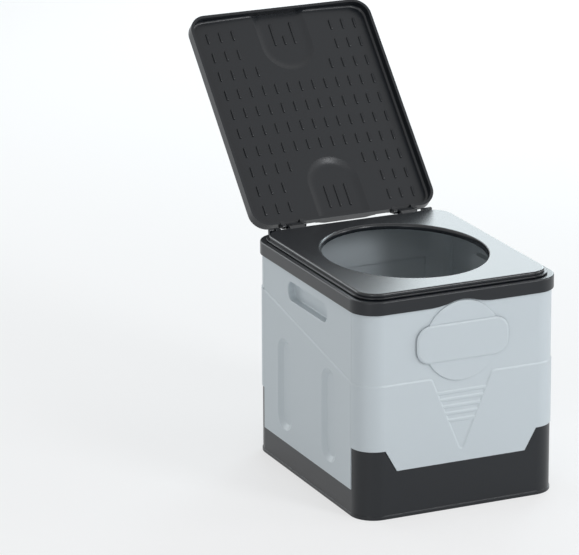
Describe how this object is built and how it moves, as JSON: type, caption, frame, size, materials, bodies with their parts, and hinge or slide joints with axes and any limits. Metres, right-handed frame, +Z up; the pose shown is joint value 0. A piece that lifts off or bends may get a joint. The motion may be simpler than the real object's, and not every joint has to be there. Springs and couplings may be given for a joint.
{
  "type": "portable folding toilet",
  "caption": "Folding box toilet with a slotted hinged lid, an oval seat, a lift-off top frame, hinged panels with handle cups and a base tray.",
  "frame": {"origin": "middle of the base tray's underside, on the floor", "axes": "+X to the right seen from the front, +Y to the rear where the lid is hinged, +Z up"},
  "size_m": [0.306, 0.6145, 0.5724],
  "materials": {
    "light_plastic": "satin moulded",
    "dark_plastic": "fine moulded",
    "seat_plastic": "half gloss",
    "steel": "drawn rod",
    "rubber": "matte",
    "bright_trim": "bright",
    "black_knob": "gloss"
  },
  "bodies": {
    "base": {"base_tray": "dark_plastic", "front_panel": "light_plastic", "rear_panel": "light_plastic", "badge_bar": "light_plastic", "left_hinge_rod": "steel", "right_hinge_rod": "steel", "front_hinge_pins": "steel", "rear_hinge_pins": "steel"},
    "left_side": {"left_panel": "light_plastic"},
    "right_side": {"right_panel": "light_plastic"},
    "frame": {"top_frame": "dark_plastic", "seat_hinge_pins": "steel"},
    "seat": {"seat_plate": "seat_plastic", "bag_ring": "dark_plastic", "seat_bumpers": "rubber", "lid_hinge_pins": "steel"},
    "lid": {"lid": "dark_plastic", "knob_collar": "bright_trim", "lid_knob": "black_knob", "knob_screw": "steel"}
  },
  "joints": [
    {"name": "frame_lift", "type": "slide", "parent": "base", "child": "frame", "axis": [0, 0, 1], "range_m": [0, 0.08]},
    {"name": "seat_hinge", "type": "hinge", "parent": "frame", "child": "seat", "pos_m": [0, 0.175, 0.317], "axis": [-1, 0, 0], "range_deg": [0, 45]},
    {"name": "lid_hinge", "type": "hinge", "parent": "seat", "child": "lid", "pos_m": [0, 0.1785, 0.3188], "axis": [1, 0, 0], "range_deg": [0, 133.8]},
    {"name": "left_panel_fold", "type": "hinge", "parent": "base", "child": "left_side", "pos_m": [-0.1415, 0, 0.038], "axis": [0, 1, 0], "range_deg": [0, 90]},
    {"name": "right_panel_fold", "type": "hinge", "parent": "base", "child": "right_side", "pos_m": [0.136, 0, 0.0485], "axis": [0, -1, 0], "range_deg": [0, 90]}
  ]
}
